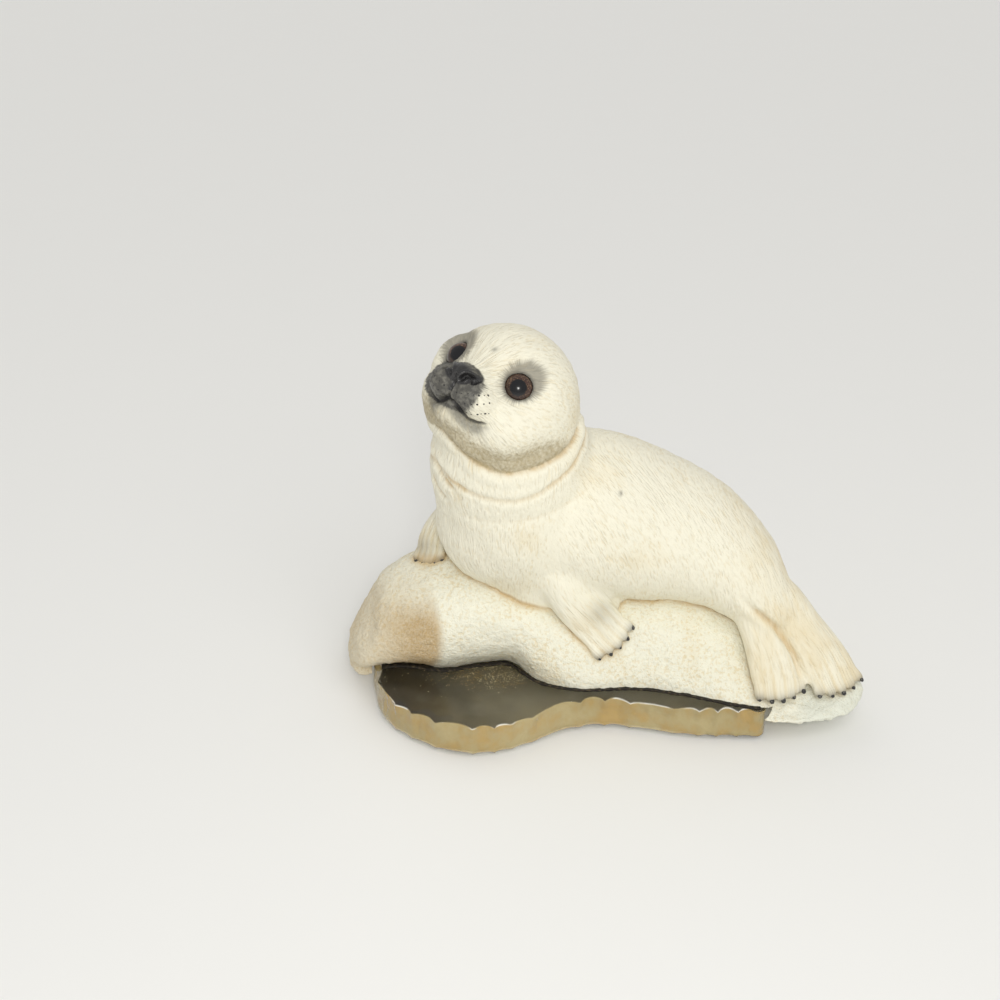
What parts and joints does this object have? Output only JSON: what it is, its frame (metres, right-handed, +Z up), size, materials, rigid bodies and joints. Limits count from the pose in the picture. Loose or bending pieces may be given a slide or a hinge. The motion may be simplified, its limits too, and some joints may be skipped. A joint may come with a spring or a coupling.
{
  "type": "seal figurine",
  "caption": "Seal pup lying on a snow bank with its head raised and turned, cast in one piece with inset glass eyes, on a clear ice-like slab with a chipped edge",
  "frame": {"origin": "on the underside of the felt pad, under the pup's belly, in the plane the figurine stands on", "axes": "+X from the pup's chest to its tail, +Y away from the side its near fore flipper is on, +Z up"},
  "size_m": [0.1565, 0.0801, 0.1182],
  "materials": {
    "casting": "stone-filled casting resin, hand painted cream white with grey and tan washes, matt",
    "eye_glass": "brown glass eye with a black pupil, polished",
    "ice_resin": "clear casting resin, yellowed, polished top and chipped edge",
    "felt": "dark felt, seen through the slab"
  },
  "bodies": {
    "root": {"pup_and_snow": "casting", "left_eye": "eye_glass", "right_eye": "eye_glass", "ice_slab": "ice_resin", "felt_pad": "felt"}
  },
  "joints": []
}
